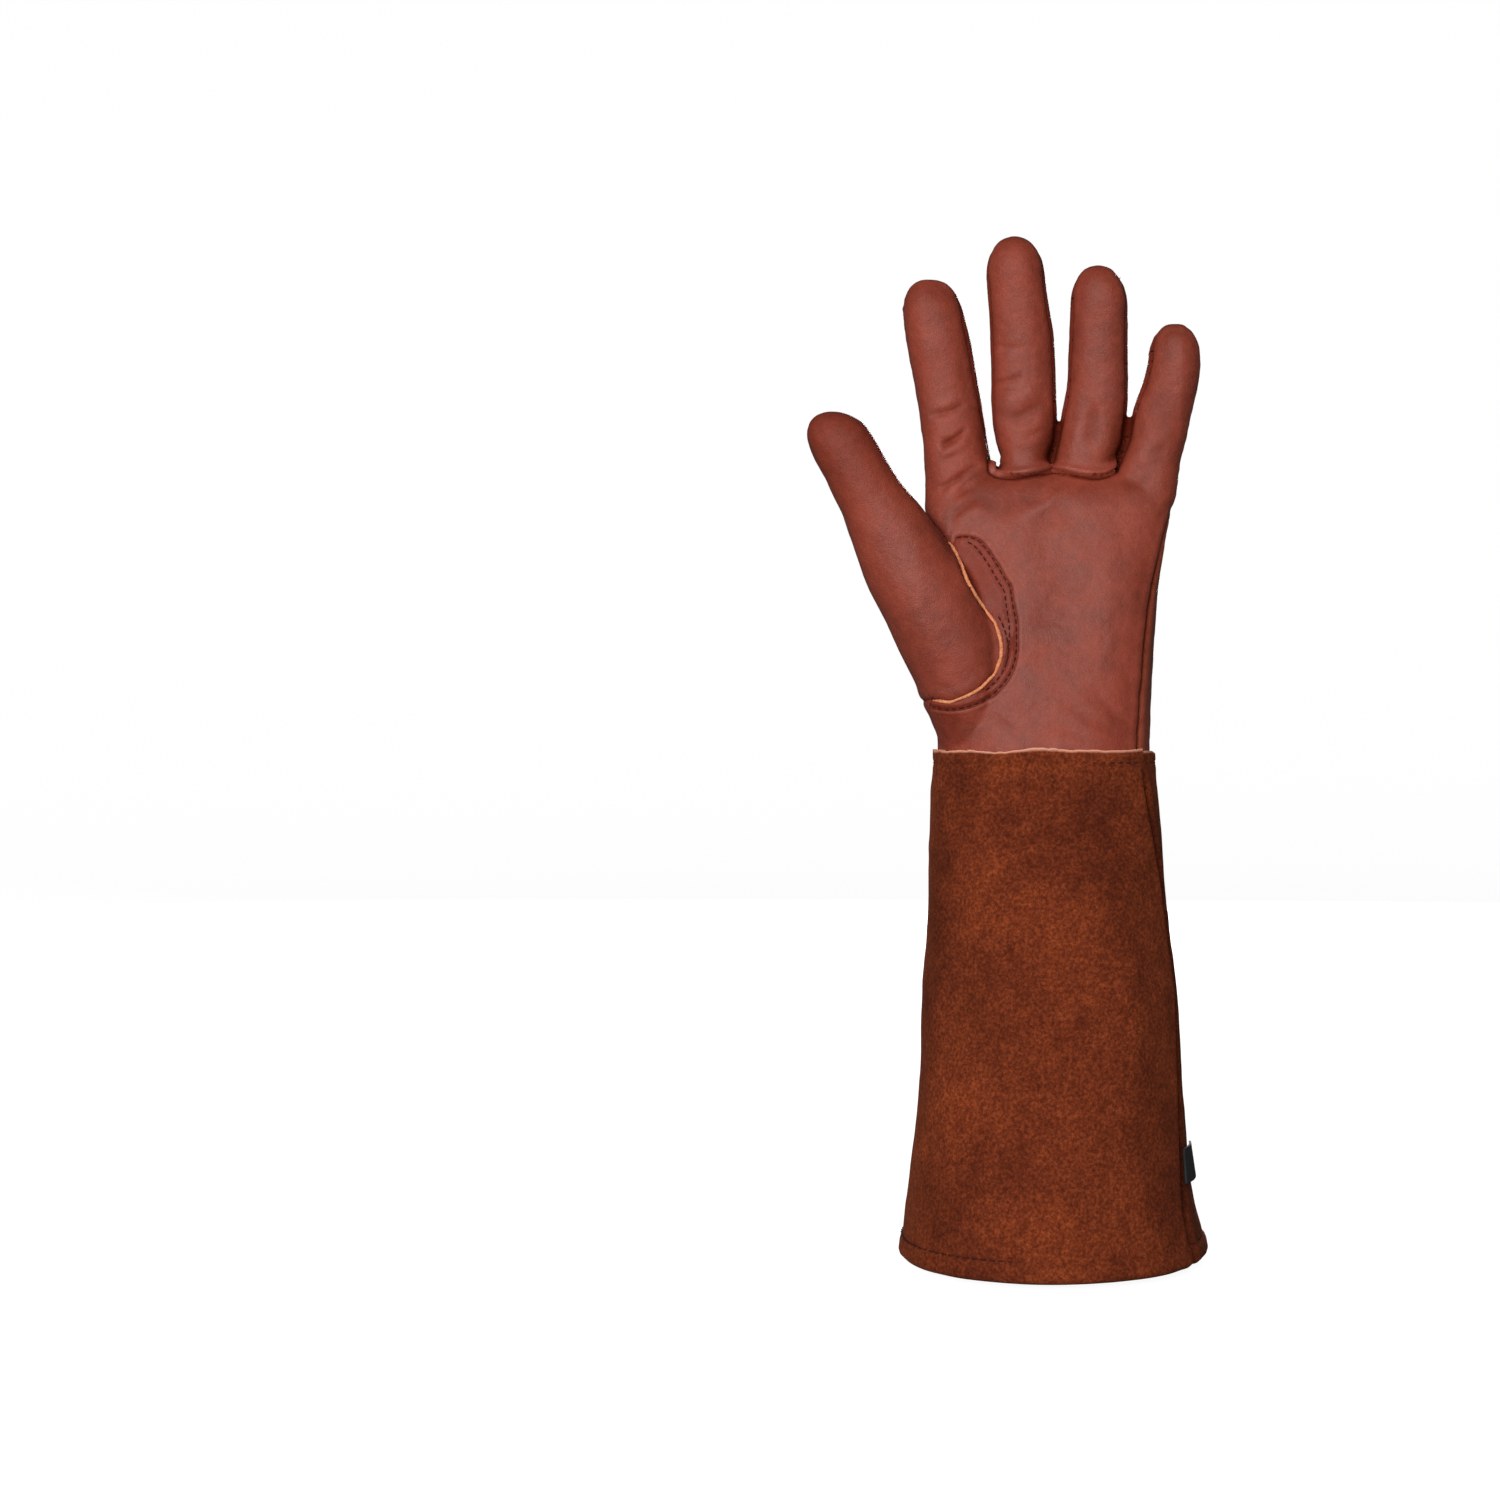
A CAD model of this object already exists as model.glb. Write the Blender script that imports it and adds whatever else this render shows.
# Looks of a leather pruning gauntlet with a long suede cuff: left hand, palm towards -Y, thumb towards -X.
# Shapes are worked out in millimetres in the frame's axes and become metres where a mesh is made.
import math
from itertools import pairwise

import bpy
import numpy as np
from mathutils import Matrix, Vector
from mathutils.bvhtree import BVHTree
from mathutils.kdtree import KDTree


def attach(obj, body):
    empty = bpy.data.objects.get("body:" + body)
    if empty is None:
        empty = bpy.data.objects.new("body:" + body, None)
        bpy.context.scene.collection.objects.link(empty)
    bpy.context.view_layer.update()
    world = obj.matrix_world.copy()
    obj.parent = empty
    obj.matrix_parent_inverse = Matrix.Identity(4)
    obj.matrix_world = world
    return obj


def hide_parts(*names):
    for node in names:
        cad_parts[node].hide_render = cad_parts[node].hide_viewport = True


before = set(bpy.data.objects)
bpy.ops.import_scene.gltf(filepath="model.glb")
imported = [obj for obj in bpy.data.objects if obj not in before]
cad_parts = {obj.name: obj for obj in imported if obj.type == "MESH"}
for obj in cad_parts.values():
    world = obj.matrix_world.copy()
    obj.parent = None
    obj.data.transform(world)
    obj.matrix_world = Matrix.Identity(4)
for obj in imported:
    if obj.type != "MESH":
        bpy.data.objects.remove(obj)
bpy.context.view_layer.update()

MM = 0.001
random = np.random.default_rng(7)

# Leather and sewing
GRAIN_WALL = 1.15
SUEDE_WALL = 1.6
SEAM_GAP = 0.08
CUFF_SEAM_GAP = 0.01
THREAD_RADIUS = 0.3
THREAD_SIDES = 6
STITCH_PITCH = 3.0
STITCH_SHARE = 0.78
ELASTIC_PITCH = 2.5
ELASTIC_HEIGHT = 28
CUFF_STITCH_PITCH = 3.6
CUFF_STITCH_LENGTH = 2.7

# Wrist and palm
WRIST_WIDTH = 84.4
WRIST_DEPTH = 56
KNUCKLE_DEPTH = 31
KNUCKLE_DRIFT = 3.2
PALM_LENGTH = 112
PALM_ROUND = 17
PALM_CUP = 4
HAND_DENT = 2.4
CURL_START = 100
CURL_ANGLE = 20
CURL_LENGTH = 100
CURL_GROWTH = 0.25
SIDE_FADE = 12
ROOT_GAP = 0.6
PALM_SQUARENESS = 2.5
FINGER_SQUARENESS = 2.2
FINGERTIP_ROUND = 16
DOME_SQUARENESS = 2.1
FOURCHETTE_WIDTH = 10
FOURCHETTE_FOOT = 6
FOURCHETTE_CROTCH = 0.14

# Thumb
THUMB_ROOT = np.array((-28, -8, 8.0))
THUMB_SPAN = np.array((-57, -22, 120.8))
THUMB_BOW = 5.4
THUMB_WIDTH = 39
THUMB_DEPTH = 38
THUMB_SEAM_WIDTH = 27.7
THUMB_SEAM_HEIGHT = 63.8
THUMB_SEAM_RISE = 18.7
THUMB_BACK_SEAM = 7
THUMB_TIP_LEAN = 3
THUMB_TIP_ROUND = 17
GUSSET_WIDTH = 14.5

# Side seams and the seams at the foot of the two middle fingers
INDEX_SEAM_WRIST = 17
INDEX_SEAM_FINGER = 8.5
LITTLE_SEAM_WRIST = -17
LITTLE_SEAM_END = 0.85
BASE_SEAM_DROP = 1.5
BASE_SEAM_SAG = 3
BASE_SEAM_TOE = 3.4

# Cuff
CUFF_LENGTH = 200
CUFF_OVERLAP = 14
MOUTH_WIDTH = 122
MOUTH_DEPTH = 112
CUFF_DRIFT = 3
CUFF_CLEARANCE = 0.6
HEM_HEIGHT = 8
FOLD_DEPTH = 1.4
TAB_HEIGHT = 13
TAB_LENGTH = 18
TAB_THICKNESS = 0.9
TAB_DROP = 156
TAB_START = 0.6
TAB_LIFT = 0.15

# Fineness of the meshes
VOXEL = 0.85
RING_SIDES = 120
RING_STEP = 1.6
CUFF_STEP = 1.15
OUTSIDE = 120
SEAM_REACH = 12
SEAM_SAMPLES = 200
SHARP_ANGLE = math.radians(55)


def table(names, *rows):
    """The columns of a table by name, with a row for each section or fold."""
    return dict(zip(names.split(), np.array(rows, float).T))


# Palm: spread goes from the wrist's width to the knuckles', flatten from the wrist's depth to the knuckles'
PALM = table(
    "up spread flatten drift",
    (0, 0, 0, 0),
    (0.18, 0.08, 0.15, 0),
    (0.45, 0.28, 0.42, -0.1),
    (0.71, 0.57, 0.67, 0.2),
    (0.89, 0.84, 0.92, 0.7),
    (1, 1, 1, 1),
)

# Fingers: rise is a share of the shaft below the rounded tip, sway of the lean, wide and deep of the sizes
FINGERS = {
    "index": dict(width=25.6, depth=22.5, length=75, lean=-12.1, sections=table(
        "rise sway wide deep",
        (-0.23, -0.05, 1.02, 1),
        (0, 0, 1.133, 1.06),
        (0.07, 0.1, 1.055, 1.05),
        (0.2, 0.175, 0.99, 1.04),
        (0.51, 0.42, 0.985, 1),
        (0.83, 0.71, 0.98, 0.99),
        (1, 0.84, 0.94, 0.95),
    )),
    "middle": dict(width=26, depth=23.5, length=91.4, lean=-4.2, sag_skew=0.65, sections=table(
        "rise sway wide deep",
        (-0.18, 0, 0.8, 1),
        (0, 0, 0.805, 1.04),
        (0.06, 0.02, 0.785, 1.04),
        (0.155, 0.04, 0.925, 1.02),
        (0.28, 0.1, 1.005, 1),
        (0.65, 0.22, 0.97, 1),
        (0.84, 0.55, 0.925, 0.96),
        (1, 0.85, 0.88, 0.93),
    )),
    "ring": dict(width=25.6, depth=22.5, length=80.2, lean=5.1, sag_skew=1.5, sections=table(
        "rise sway wide deep",
        (-0.21, 0, 0.93, 1),
        (0, -0.06, 0.975, 1.04),
        (0.18, 0.51, 1.045, 1.02),
        (0.33, 0.77, 1.025, 1),
        (0.55, 1, 0.94, 1),
        (1, 1.1, 0.87, 0.94),
    )),
    "little": dict(width=23.6, depth=20.5, length=58.2, lean=10.4, sections=table(
        "rise sway wide deep",
        (-0.33, -0.1, 1, 1.05),
        (0, 0, 1.05, 1.08),
        (0.28, 0.3, 0.99, 1.04),
        (0.5, 0.46, 1, 1),
        (0.84, 0.85, 0.915, 0.96),
        (1, 0.96, 0.88, 0.94),
    )),
}

# Thumb: along is a share of the shaft below the rounded tip, bow a share of its bulge towards the palm
THUMB = table(
    "along bow wide deep",
    (0, 0, 0.72, 0.8),
    (0.14, 0.66, 0.86, 0.94),
    (0.27, 1.06, 0.95, 1),
    (0.44, 1.1, 0.975, 0.95),
    (0.6, 0.82, 0.89, 0.82),
    (0.72, 0.74, 0.79, 0.73),
    (0.84, 0.54, 0.66, 0.65),
    (0.93, 0.44, 0.635, 0.62),
    (1, 0.34, 0.625, 0.6),
)

# The thumb's seam on the palm, from the crotch down to the wrist's edge, in shares of its width and height
THUMB_SEAM = table(
    "inward up gusset",
    (0.3, 1, 0.15),
    (0.44, 0.9, 0.8),
    (0.574, 0.726, 1),
    (0.755, 0.59, 0.98),
    (0.935, 0.47, 0.64),
    (0.996, 0.33, 0.46),
    (0.92, 0.21, 0.43),
    (0.73, 0.11, 0.41),
    (0.47, 0.035, 0.34),
    (0.21, 0, 0.26),
    (-0.05, 0.016, 0.24),
)

# Soft hollows of the hand: side is 1 on the back and -1 on the palm
HAND_DENTS = table(
    "side across over up reach deep",
    (1, 0, 1.1, 0.25, 0.16, 1),
    (1, -0.34, 0.2, 0.56, 0.26, 0.5),
    (1, 0.02, 0.2, 0.58, 0.3, 0.6),
    (1, 0.38, 0.2, 0.54, 0.26, 0.5),
    (-1, 0.12, 0.35, 0.5, 0.45, 0.6),
)

# Cuff: the seams' places are angles from the palm's middle, round to the little finger and to the thumb
CUFF = table(
    "down flare deepen drift outer_seam thumb_seam square",
    (0, 0, 0, 0, 57.5, 96, 2.5),
    (0.1, 0.05, 0.07, 0.1, 60.5, 97, 2.45),
    (0.3, 0.21, 0.26, 0.4, 74, 101, 2.3),
    (0.5, 0.36, 0.45, 0.75, 78, 104, 2.2),
    (0.7, 0.54, 0.63, 0.75, 72, 108, 2.1),
    (0.9, 0.83, 0.86, 1, 64, 111, 2.1),
    (1, 1, 1, 1, 64, 112, 2.1),
)
CUFF_FOLDS = table(
    "around over middle reach deep",
    (52, 18, 0.45, 0.35, 0.9),
    (-46, 18, 0.42, 0.32, 0.8),
    (152, 20, 0.42, 0.32, 1),
    (-150, 20, 0.55, 0.38, 0.9),
)

# Creases: side as above, two ends (x, z), half width and depth; ridges have a depth below zero
CREASES = table(
    "side x0 z0 x1 z1 wide deep",
    # Index finger, palm side
    (-1, -43.5, 131.5, -33, 137, 1.4, 0.9),
    (-1, -42, 135.5, -32, 140, 2.2, -0.35),
    (-1, -40, 121, -30, 127, 1.4, 1.2),
    (-1, -40, 120, -36, 124, 1.8, 0.7),
    (-1, -39, 117.5, -30, 122, 1.9, -0.5),
    (-1, -40, 114, -33, 117, 1.3, 0.5),
    (-1, -41, 103.5, -32, 109, 1.5, 0.8),
    (-1, -40, 100, -32, 105, 1.8, -0.4),
    (-1, -37, 91, -27, 99, 1.5, 0.7),
    (-1, -34, 88, -24, 96, 1.9, -0.35),
    (-1, -34, 107, -26, 112, 1.5, 0.7),
    (-1, -34.5, 100, -30, 103.5, 1.4, 0.45),
    # Middle finger, palm side
    (-1, -18, 160, -8, 160.5, 1.2, 0.4),
    (-1, -19, 145, -9, 148.5, 1.3, 0.75),
    (-1, -18, 141, -11, 143, 1.0, 0.35),
    (-1, -15, 130, 0, 139, 2.6, 1.0),
    (-1, -12, 128, -3, 132, 1.1, 0.4),
    (-1, -17, 137, -4, 143, 2.6, -0.5),
    (-1, -8, 123, 1, 128, 1.6, 0.4),
    (-1, -10, 117, 0, 121, 3.0, 0.5),
    # Ring and little finger, palm side
    (-1, 18, 121, 20, 136, 3.2, 1.1),
    (-1, 10, 118, 12, 128, 3.0, -0.4),
    (-1, 41, 116, 47, 121, 2.6, 0.6),
    (-1, 36, 112, 46, 114, 2.2, 0.5),
    # Palm: below the fingers, beside the gusset and towards the wrist
    (-1, -8, 91, 8, 101, 2.6, -0.6),
    (-1, -18, 92, -2, 101, 3.4, 0.6),
    (-1, -5, 86, 10, 95, 3.0, 0.5),
    (-1, -4, 52, 8, 49, 1.8, 0.3),
    (-1, 0, 57, 10, 55, 1.8, 0.25),
    (-1, 30, 30, 40, 18, 2.2, 0.45),
    (-1, -40, 14, -34, 8, 2.4, 0.5),
    (-1, 30, 104, 44, 110, 3.0, 0.5),
    (-1, -20, 95, -32, 104, 3.5, 0.6),
    (-1, 8, 18, 26, 8, 2.4, 0.55),
    (-1, 2, 10, 20, 3, 2.2, 0.45),
    (-1, 18, 24, 30, 12, 2.6, 0.5),
    (-1, -22, 12, -8, 6, 2.2, 0.5),
    # Back of the hand: pleats that run down to the elastic
    (1, -22, 92, -19, 34, 2.2, -0.9),
    (1, -26, 90, -23, 34, 2.2, 0.7),
    (1, 4, 96, 1, 34, 2.6, -1.1),
    (1, -1, 94, -3, 34, 2.2, 0.8),
    (1, 9, 90, 6, 34, 2.2, 0.7),
    (1, 28, 88, 24, 34, 2.2, -0.9),
    (1, 33, 84, 29, 34, 2.4, 0.7),
    (1, -12, 76, -10, 34, 1.8, 0.5),
    (1, 18, 80, 15, 34, 1.8, 0.5),
    # Back of the hand below the elastic
    (1, -34, 22, -18, 6, 2.4, 0.6),
    (1, -10, 24, 6, 4, 2.6, 0.6),
    (1, 14, 22, 30, 6, 2.4, 0.6),
    # Knuckles, below the slits between the fingers
    (1, -25, 112, -26, 98, 1.8, 0.8),
    (1, 3, 112, 2, 98, 1.8, 0.8),
    (1, 31, 112, 29, 98, 1.8, 0.8),
    (1, -40, 150, -28, 151, 1.8, 0.4),
    (1, -18, 160, -6, 161, 1.8, 0.4),
    (1, 14, 152, 24, 152, 1.8, 0.4),
)


def lerp(low, high, share):
    return low + (high - low) * share


def step_between(value, low, high):
    share = np.clip((value - low) / (high - low), 0, 1)
    return share * share * (3 - 2 * share)


def bump(value):
    return np.maximum(0, 1 - value * value) ** 2


def bell(value, width):
    return np.exp(-((value / width) ** 2))


def unit(rows):
    return rows / np.linalg.norm(rows, axis=1)[:, None]


def turns(count):
    """Even steps round a circle, in radians."""
    return np.arange(count) * 2 * np.pi / count


def degrees_between(angle, other):
    return (angle - other + 180) % 360 - 180


def rounded(value, squareness):
    return np.sign(value) * np.abs(value) ** (2 / squareness)


def read(columns, place, name, at):
    """A column of a table between its rows, on a smooth line that never overshoots them."""
    x, y = columns[place], columns[name]
    at = np.clip(at, x[0], x[-1])
    gap = np.diff(x)
    slope = np.diff(y) / gap
    turn = np.concatenate((slope[:1], np.zeros(len(x) - 2), slope[-1:]))
    same = slope[1:] * slope[:-1] > 0
    both = np.where(same, slope[1:] + slope[:-1], 1)
    turn[1:-1] = np.where(same, 2 * slope[1:] * slope[:-1] / both, 0)
    i = np.clip(np.searchsorted(x, at, side="right") - 1, 0, len(gap) - 1)
    t = (at - x[i]) / gap[i]
    rest = 1 - t
    start = (1 + 2 * t) * rest * rest * y[i] + t * rest * rest * gap[i] * turn[i]
    return start + t * t * (1 + 2 * rest) * y[i + 1] - t * t * rest * gap[i] * turn[i + 1]


LATTICE = random.uniform(-1, 1, (48, 48, 48))


def noise(points, cell, shift=0):
    """Smooth noise from -1 to 1 with a feature size in millimetres."""
    place = points / cell + shift
    low = np.floor(place).astype(int)
    part = place - low
    part = part * part * (3 - 2 * part)
    total = 0
    for corner in np.ndindex(2, 2, 2):
        share = np.prod(np.where(corner, part, 1 - part), axis=1)
        total = total + share * LATTICE[tuple(((low + corner) % 48).T)]
    return total


def curve(points, count):
    """Points on a smooth curve through the given ones."""
    points = np.asarray(points, float)
    ends = np.vstack((2 * points[0] - points[1], points, 2 * points[-1] - points[-2]))
    place = np.linspace(0, len(points) - 1, count)
    i = np.minimum(place.astype(int), len(points) - 2)
    t = (place - i)[:, None]
    a, b, c, d = (ends[i + k] for k in range(4))
    bend = (2 * a - 5 * b + 4 * c - d) * t**2 + (3 * b - a - 3 * c + d) * t**3
    return 0.5 * (2 * b + (c - a) * t + bend)


def evenly(points, step):
    """The points of a line at even steps along it."""
    run = np.concatenate(([0], np.cumsum(np.linalg.norm(np.diff(points, axis=0), axis=1))))
    places = np.linspace(0, run[-1], max(2, round(run[-1] / step) + 1))
    return np.stack([np.interp(places, run, column) for column in points.T], axis=1)


# The palm's half sizes and middle at a height
def palm_section(z):
    up = np.clip(z / PALM_LENGTH, 0, 1)
    return (
        KNUCKLE_DRIFT * read(PALM, "up", "drift", up),
        lerp(WRIST_WIDTH, KNUCKLE_WIDTH, read(PALM, "up", "spread", up)) / 2,
        lerp(WRIST_DEPTH, KNUCKLE_DEPTH, read(PALM, "up", "flatten", up)) / 2,
    )


def finger_section(finger, z, tip=True):
    shaft = finger["length"] - FINGERTIP_ROUND
    rise = (z - PALM_LENGTH) / shaft
    over = np.clip((z - PALM_LENGTH - shaft) / FINGERTIP_ROUND, 0, 1)
    end = (1 - over**DOME_SQUARENESS) ** (1 / DOME_SQUARENESS) if tip else 1
    sway, wide, deep = (read(finger["sections"], "rise", name, rise) for name in ("sway", "wide", "deep"))
    x = finger["root"] + finger["lean"] * lerp(sway, 1, over)
    return x, finger["width"] / 2 * wide * end, finger["depth"] / 2 * deep * end


def root_width(finger):
    return finger["width"] * read(finger["sections"], "rise", "wide", 0)


KNUCKLE_WIDTH = sum(map(root_width, FINGERS.values())) + 3 * ROOT_GAP
root_edge = KNUCKLE_DRIFT - KNUCKLE_WIDTH / 2
for finger in FINGERS.values():
    finger["root"] = root_edge + root_width(finger) / 2
    root_edge += root_width(finger) + ROOT_GAP
INDEX, MIDDLE, RING, LITTLE = FINGERS.values()


def slit_middle(left, right, z):
    a = finger_section(left, np.maximum(z, PALM_LENGTH), False)
    b = finger_section(right, np.maximum(z, PALM_LENGTH), False)
    return (a[0] + a[1] + b[0] - b[1]) / 2


THUMB_AXIS = THUMB_SPAN / np.linalg.norm(THUMB_SPAN)
THUMB_ACROSS = np.cross((0, 1, 0), THUMB_AXIS)
THUMB_ACROSS /= np.linalg.norm(THUMB_ACROSS)
THUMB_OUT = np.cross(THUMB_AXIS, THUMB_ACROSS)
THUMB_SHAFT = np.linalg.norm(THUMB_SPAN) - FINGERTIP_ROUND


def oval(centre, across_axis, deep_axis, across, deep, squareness):
    """Rings of points round centres."""
    angle = turns(RING_SIDES)
    side = rounded(np.cos(angle), squareness)[None, :, None] * np.asarray(across_axis, float)
    out = rounded(np.sin(angle), squareness)[None, :, None] * np.asarray(deep_axis, float)
    return centre[:, None] + across[:, None, None] * side + deep[:, None, None] * out


def dome():
    """Rise and width of a blunt rounded end, as shares of its radius."""
    turn = np.radians(np.arange(6, 90, 6))
    return rounded(np.sin(turn), DOME_SQUARENESS), rounded(np.cos(turn), DOME_SQUARENESS)


def palm_rings():
    rise, share = dome()
    shoulder = PALM_LENGTH - PALM_ROUND
    shaft = np.arange(-CUFF_OVERLAP - 4, shoulder, RING_STEP)
    z = np.concatenate((shaft, [shoulder], shoulder + PALM_ROUND * rise))
    x, across, deep = palm_section(z)
    deep[len(shaft) + 1:] *= share
    centre = np.stack((x, np.zeros(len(z)), z), axis=1)
    return oval(centre, (1, 0, 0), (0, 1, 0), across, deep, PALM_SQUARENESS)


def finger_rings(finger):
    shaft = finger["length"] - FINGERTIP_ROUND
    low = finger["sections"]["rise"][0] * shaft
    tip = shaft + FINGERTIP_ROUND * dome()[0]
    z = PALM_LENGTH + np.concatenate((np.arange(low, shaft, RING_STEP), [shaft], tip))
    x, across, deep = finger_section(finger, z)
    centre = np.stack((x, np.zeros(len(z)), z), axis=1)
    return oval(centre, (1, 0, 0), (0, 1, 0), across, deep, FINGER_SQUARENESS)


def thumb_section(along):
    bow, wide, deep = (read(THUMB, "along", name, along) for name in ("bow", "wide", "deep"))
    centre = THUMB_ROOT + np.outer(along * THUMB_SHAFT, THUMB_AXIS) + np.outer(bow * THUMB_BOW, THUMB_ACROSS)
    return centre, wide * THUMB_WIDTH / 2, deep * THUMB_DEPTH / 2


def thumb_rings():
    rise, share = dome()
    shaft = np.linspace(0, 1, round(THUMB_SHAFT / RING_STEP))
    centre, across, deep = thumb_section(np.concatenate((shaft, np.ones(len(rise)))))
    lean = np.outer(THUMB_TIP_LEAN * rise**2, THUMB_ACROSS)
    centre[len(shaft):] += np.outer(THUMB_TIP_ROUND * rise, THUMB_AXIS) - lean
    across[len(shaft):] *= share
    deep[len(shaft):] *= share
    return oval(centre, THUMB_ACROSS, THUMB_OUT, across, deep, FINGER_SQUARENESS)


def palm_left(z):
    x, across, _ = palm_section(z)
    return x - across


def palm_right(z):
    x, across, _ = palm_section(z)
    return x + across


def thumb_crotch():
    """Where the thumb's inner outline leaves the side of the palm, in the palm's plane."""
    centre, across, _ = thumb_section(np.linspace(0.5, 1, 200))
    edge = centre + across[:, None] * THUMB_ACROSS
    leaves = np.argmax(edge[:, 0] < palm_left(edge[:, 2]))
    return edge[leaves, ::2]


def thumb_seam(shift=0, share=0):
    """The thumb's seam in the palm's plane, moved outwards by millimetres and a share of the gusset."""
    z = THUMB_SEAM_RISE + THUMB_SEAM["up"] * THUMB_SEAM_HEIGHT
    x = palm_left(z) + THUMB_SEAM["inward"] * THUMB_SEAM_WIDTH
    line = curve(np.stack((x, z), axis=1), SEAM_SAMPLES)
    widths = dict(place=np.arange(len(z), dtype=float), gusset=THUMB_SEAM["gusset"])
    gusset = read(widths, "place", "gusset", np.linspace(0, len(z) - 1, SEAM_SAMPLES))
    along = unit(np.gradient(line, axis=0))
    outward = np.stack((-along[:, 1], along[:, 0]), axis=1)
    return line + outward * (shift + share * gusset * GUSSET_WIDTH)[:, None]


def index_seam(z):
    low = lerp(INDEX_SEAM_WRIST, INDEX_SEAM_FINGER, np.clip(z / PALM_LENGTH, 0, 1) ** 1.3)
    tip = PALM_LENGTH + INDEX["length"]
    high = INDEX_SEAM_FINGER * np.clip((tip - z) / (1.25 * FINGERTIP_ROUND), 0, 1)
    return np.where(z < PALM_LENGTH, low, high)


def little_seam(z):
    return LITTLE_SEAM_WRIST * np.sqrt(np.clip(1 - z / (LITTLE_SEAM_END * PALM_LENGTH), 0, 1))


# Fields: each is below zero inside the piece it cuts out of the hand's skin
def outline_distance(points, outline):
    """How far points in the palm's plane lie outside a closed outline, below zero inside."""
    place = points[:, ::2]
    nearest = np.full(len(place), np.inf)
    inside = np.zeros(len(place), bool)
    for a, b in zip(outline, np.roll(outline, -1, axis=0)):
        edge = b - a
        along = np.clip((place - a) @ edge / max(edge @ edge, 1e-9), 0, 1)
        nearest = np.minimum(nearest, np.linalg.norm(place - a - along[:, None] * edge, axis=1))
        crosses = (a[1] > place[:, 1]) != (b[1] > place[:, 1])
        if crosses.any():
            inside ^= crosses & (place[:, 0] < a[0] + edge[0] * (place[:, 1] - a[1]) / (edge[1] or 1e-9))
    return np.where(inside, -nearest, nearest)


def thumb_field(p):
    crotch = thumb_crotch()
    seam = thumb_seam()
    above = [(-OUTSIDE, seam[-1, 1] - 8), (-OUTSIDE, crotch[1] + OUTSIDE / 2), crotch + (-10, 44), crotch]
    return np.maximum(outline_distance(p, np.vstack((above, seam[::2]))), p[:, 1] - THUMB_BACK_SEAM)


def gusset_field(p):
    outline = np.vstack((thumb_seam(-0.5)[::2], thumb_seam(0, 1)[::-2]))
    return np.maximum(outline_distance(p, outline), p[:, 1] + GUSSET_WIDTH)


def fourchette_field(left, right):
    def field(p):
        x, y, z = p.T
        near, far = finger_section(left, z)[0], finger_section(right, z)[0]
        is_left = x < slit_middle(left, right, z)
        length = np.where(is_left, left["length"], right["length"])
        share = np.interp((z - PALM_LENGTH) / length, (0.78, 0.95), (1, 0.1))
        share = share * lerp(FOURCHETTE_CROTCH, 1, step_between(z, PALM_LENGTH - 2, PALM_LENGTH + 24))
        walls = (np.abs(y) - share * FOURCHETTE_WIDTH / 2, near - x, x - far)
        ends = (PALM_LENGTH - FOURCHETTE_FOOT - z, z - PALM_LENGTH - 0.95 * length)
        return np.maximum.reduce((*walls, *ends))
    return field


def back_field(p):
    x, y, z = p.T
    near = finger_section(INDEX, z)[0]
    far = finger_section(LITTLE, z)[0] + palm_right(z) - palm_right(PALM_LENGTH)
    from_index = 1 - np.clip((x - near) / (INDEX["width"] / 4), 0, 1)
    from_little = np.clip((x - far) / (LITTLE["width"] / 4), 0, 1)
    return index_seam(z) * from_index + little_seam(z) * from_little - y


def front_field(left, finger, right):
    def field(p):
        x, _, z = p.T
        toe = BASE_SEAM_TOE * bump((z - PALM_LENGTH) / 9) * (left is INDEX)
        start, end = slit_middle(left, finger, z) - toe, slit_middle(finger, right, z)
        share = np.clip((x - start) / (end - start), 0, 1) ** finger["sag_skew"]
        sag = BASE_SEAM_SAG * bump(2 * share - 1) ** 0.5
        return np.maximum.reduce((start - x, x - end, PALM_LENGTH - BASE_SEAM_DROP - sag - z))
    return field


# Meshes as arrays of points and triangles
def loft(rings):
    levels, sides, _ = rings.shape
    points = np.vstack((rings.reshape(-1, 3), rings[0].mean(0), rings[-1].mean(0)))
    i = np.arange(sides)
    j = (i + 1) % sides
    start = np.arange(levels - 1)[:, None] * sides
    a, b, c, d = ((start + k).ravel() for k in (i, j, j + sides, i + sides))
    foot, top = levels * sides, levels * sides + 1
    last = (levels - 1) * sides
    feet = np.stack((np.full(sides, foot), j, i), 1)
    tips = np.stack((np.full(sides, top), last + i, last + j), 1)
    return points, np.vstack((np.stack((a, b, c), 1), np.stack((a, c, d), 1), feet, tips))


def merged(parts):
    """Several meshes as one, left apart."""
    starts = np.cumsum([0] + [len(points) for points, _ in parts])
    faces = [faces + start for (_, faces), start in zip(parts, starts)]
    return np.vstack([points for points, _ in parts]), np.vstack(faces)


def to_mesh(name, points, faces):
    mesh = bpy.data.meshes.new(name)
    corners = faces.shape[1]
    mesh.vertices.add(len(points))
    mesh.vertices.foreach_set("co", np.asarray(points, np.float32).ravel())
    mesh.loops.add(faces.size)
    mesh.loops.foreach_set("vertex_index", faces.ravel().astype(np.int32))
    mesh.polygons.add(len(faces))
    mesh.polygons.foreach_set("loop_start", np.arange(0, faces.size, corners, dtype=np.int32))
    mesh.update(calc_edges=True)
    mesh.validate()
    return mesh


def from_mesh(mesh):
    mesh.calc_loop_triangles()
    points = np.empty(len(mesh.vertices) * 3, np.float32)
    mesh.vertices.foreach_get("co", points)
    faces = np.empty(len(mesh.loop_triangles) * 3, np.int32)
    mesh.loop_triangles.foreach_get("vertices", faces)
    return points.reshape(-1, 3).astype(float), faces.reshape(-1, 3).astype(int)


def in_scene(name, data):
    """A new object of the scene."""
    thing = bpy.data.objects.new(name, data)
    bpy.context.scene.collection.objects.link(thing)
    return thing


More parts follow.
